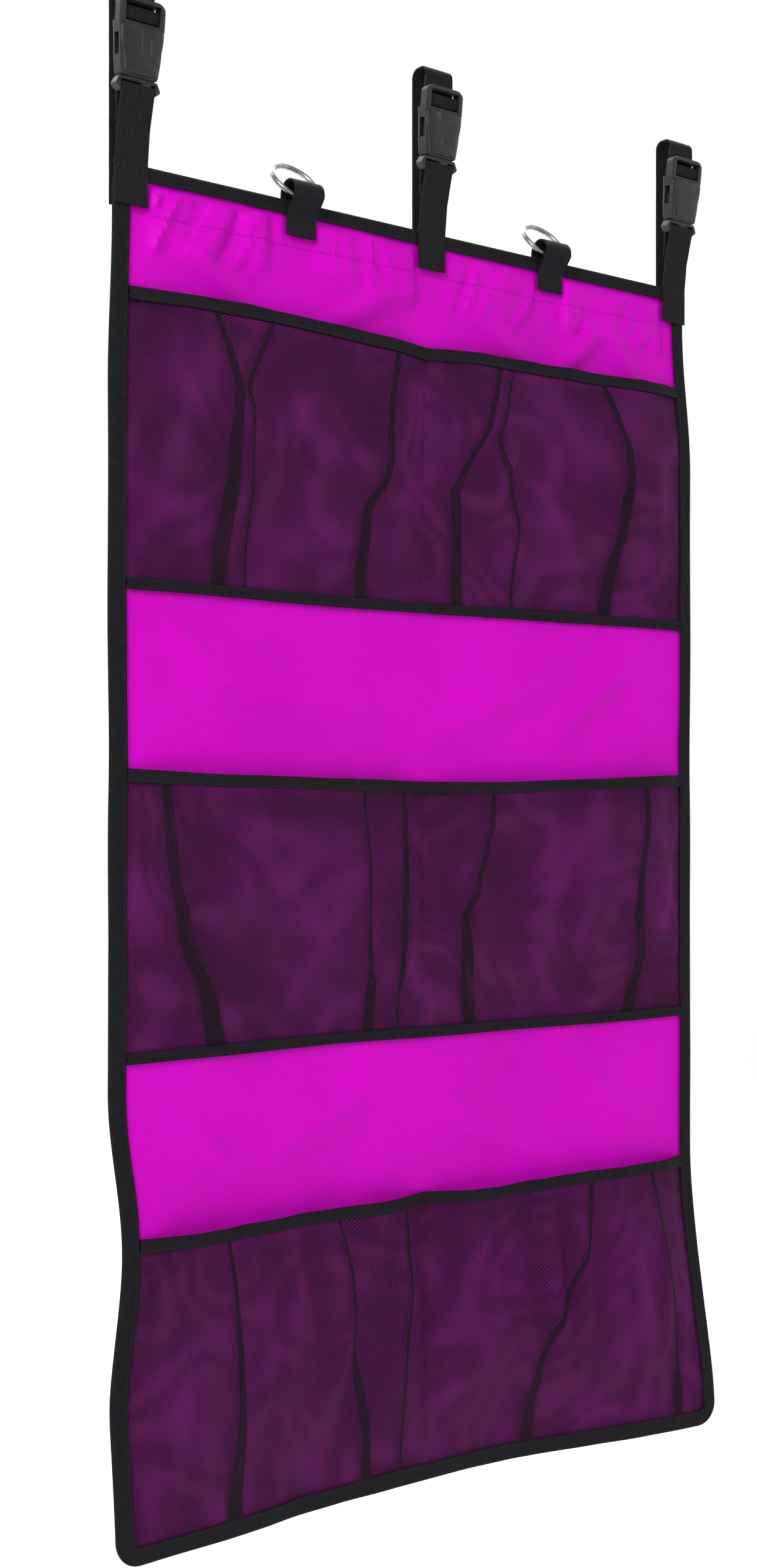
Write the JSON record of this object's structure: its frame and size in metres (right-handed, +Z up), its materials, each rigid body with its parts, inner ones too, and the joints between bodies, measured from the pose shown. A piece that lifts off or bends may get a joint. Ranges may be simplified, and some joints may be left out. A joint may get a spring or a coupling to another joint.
{
  "type": "hanging mesh pocket organiser",
  "caption": "Hanging cloth organiser with rows of pleated mesh pockets, webbing hanging straps with side-release buckles, and wire rings in webbing keepers.",
  "frame": {"origin": "middle of the flat inner face at the top of the middle hanging loop, where a rail carries it", "axes": "+Z up, +X to the right seen from the pocket side, pockets face -Y"},
  "size_m": [0.544, 0.0469, 1.033],
  "materials": {
    "panel_cloth": "woven nylon, slight sheen",
    "batten_plastic": "matte",
    "binding": "ribbed binding tape",
    "mesh": "open diamond mesh",
    "webbing": "woven webbing",
    "dark_plastic": "satin moulded",
    "nickel": "satin nickel plate"
  },
  "bodies": {
    "root": {"back_panel": "panel_cloth", "hem_facing": "panel_cloth", "hem_batten": "batten_plastic", "top_binding": "binding", "edge_binding": "binding", "mesh_row_1": "mesh", "mesh_row_2": "mesh", "mesh_row_3": "mesh", "mouth_binding_1": "binding", "mouth_binding_2": "binding", "mouth_binding_3": "binding", "foot_tape_1": "binding", "foot_tape_2": "binding", "lower_strap_left": "webbing", "loop_strap_left": "webbing", "buckle_socket_left": "dark_plastic", "lower_strap_middle": "webbing", "loop_strap_middle": "webbing", "buckle_socket_middle": "dark_plastic", "lower_strap_right": "webbing", "loop_strap_right": "webbing", "buckle_socket_right": "dark_plastic", "ring_keeper_left": "webbing", "ring_keeper_right": "webbing"},
    "plug_left": {"buckle_plug_left": "dark_plastic"},
    "prong_left_left": {"buckle_prong_left_left": "dark_plastic"},
    "prong_left_right": {"buckle_prong_left_right": "dark_plastic"},
    "plug_middle": {"buckle_plug_middle": "dark_plastic"},
    "prong_middle_left": {"buckle_prong_middle_left": "dark_plastic"},
    "prong_middle_right": {"buckle_prong_middle_right": "dark_plastic"},
    "plug_right": {"buckle_plug_right": "dark_plastic"},
    "prong_right_left": {"buckle_prong_right_left": "dark_plastic"},
    "prong_right_right": {"buckle_prong_right_right": "dark_plastic"},
    "ring_left": {"ring_left": "nickel"},
    "ring_right": {"ring_right": "nickel"}
  },
  "joints": [
    {"name": "plug_slide_left", "type": "slide", "parent": "root", "child": "plug_left", "axis": [0, 0.1086, -0.9941], "range_m": [0, 0.027], "deforming": ["lower_strap_left", "buckle_prong_left_left", "buckle_prong_left_right"]},
    {"name": "prong_press_left_left", "type": "hinge", "parent": "plug_left", "child": "prong_left_left", "pos_m": [-0.263, -0.00563, -0.06123], "axis": [0, 0.9941, 0.1086], "range_deg": [0, 14], "stiffness_Nm_per_rad": 0.1},
    {"name": "prong_press_left_right", "type": "hinge", "parent": "plug_left", "child": "prong_left_right", "pos_m": [-0.247, -0.00563, -0.06123], "axis": [0, 0.9941, 0.1086], "range_deg": [-14, 0], "stiffness_Nm_per_rad": 0.1},
    {"name": "plug_slide_middle", "type": "slide", "parent": "root", "child": "plug_middle", "axis": [0, 0.1086, -0.9941], "range_m": [0, 0.027], "deforming": ["lower_strap_middle", "buckle_prong_middle_left", "buckle_prong_middle_right"]},
    {"name": "prong_press_middle_left", "type": "hinge", "parent": "plug_middle", "child": "prong_middle_left", "pos_m": [-0.008, -0.00563, -0.06123], "axis": [0, 0.9941, 0.1086], "range_deg": [0, 14], "stiffness_Nm_per_rad": 0.1},
    {"name": "prong_press_middle_right", "type": "hinge", "parent": "plug_middle", "child": "prong_middle_right", "pos_m": [0.008, -0.00563, -0.06123], "axis": [0, 0.9941, 0.1086], "range_deg": [-14, 0], "stiffness_Nm_per_rad": 0.1},
    {"name": "plug_slide_right", "type": "slide", "parent": "root", "child": "plug_right", "axis": [0, 0.1086, -0.9941], "range_m": [0, 0.027], "deforming": ["lower_strap_right", "buckle_prong_right_left", "buckle_prong_right_right"]},
    {"name": "prong_press_right_left", "type": "hinge", "parent": "plug_right", "child": "prong_right_left", "pos_m": [0.247, -0.00563, -0.06123], "axis": [0, 0.9941, 0.1086], "range_deg": [0, 14], "stiffness_Nm_per_rad": 0.1},
    {"name": "prong_press_right_right", "type": "hinge", "parent": "plug_right", "child": "prong_right_right", "pos_m": [0.263, -0.00563, -0.06123], "axis": [0, 0.9941, 0.1086], "range_deg": [-14, 0], "stiffness_Nm_per_rad": 0.1},
    {"name": "ring_swing_left", "type": "hinge", "parent": "root", "child": "ring_left", "pos_m": [-0.118, -0.00103, -0.1124], "axis": [1, 0, 0], "range_deg": [-40, 120]},
    {"name": "ring_swing_right", "type": "hinge", "parent": "root", "child": "ring_right", "pos_m": [0.118, -0.00103, -0.1124], "axis": [1, 0, 0], "range_deg": [-40, 120]}
  ],
  "couplings": [
    {"joint": "prong_press_left_right", "follows": "prong_press_left_left", "ratio": -1},
    {"joint": "prong_press_middle_right", "follows": "prong_press_middle_left", "ratio": -1},
    {"joint": "prong_press_right_right", "follows": "prong_press_right_left", "ratio": -1}
  ]
}
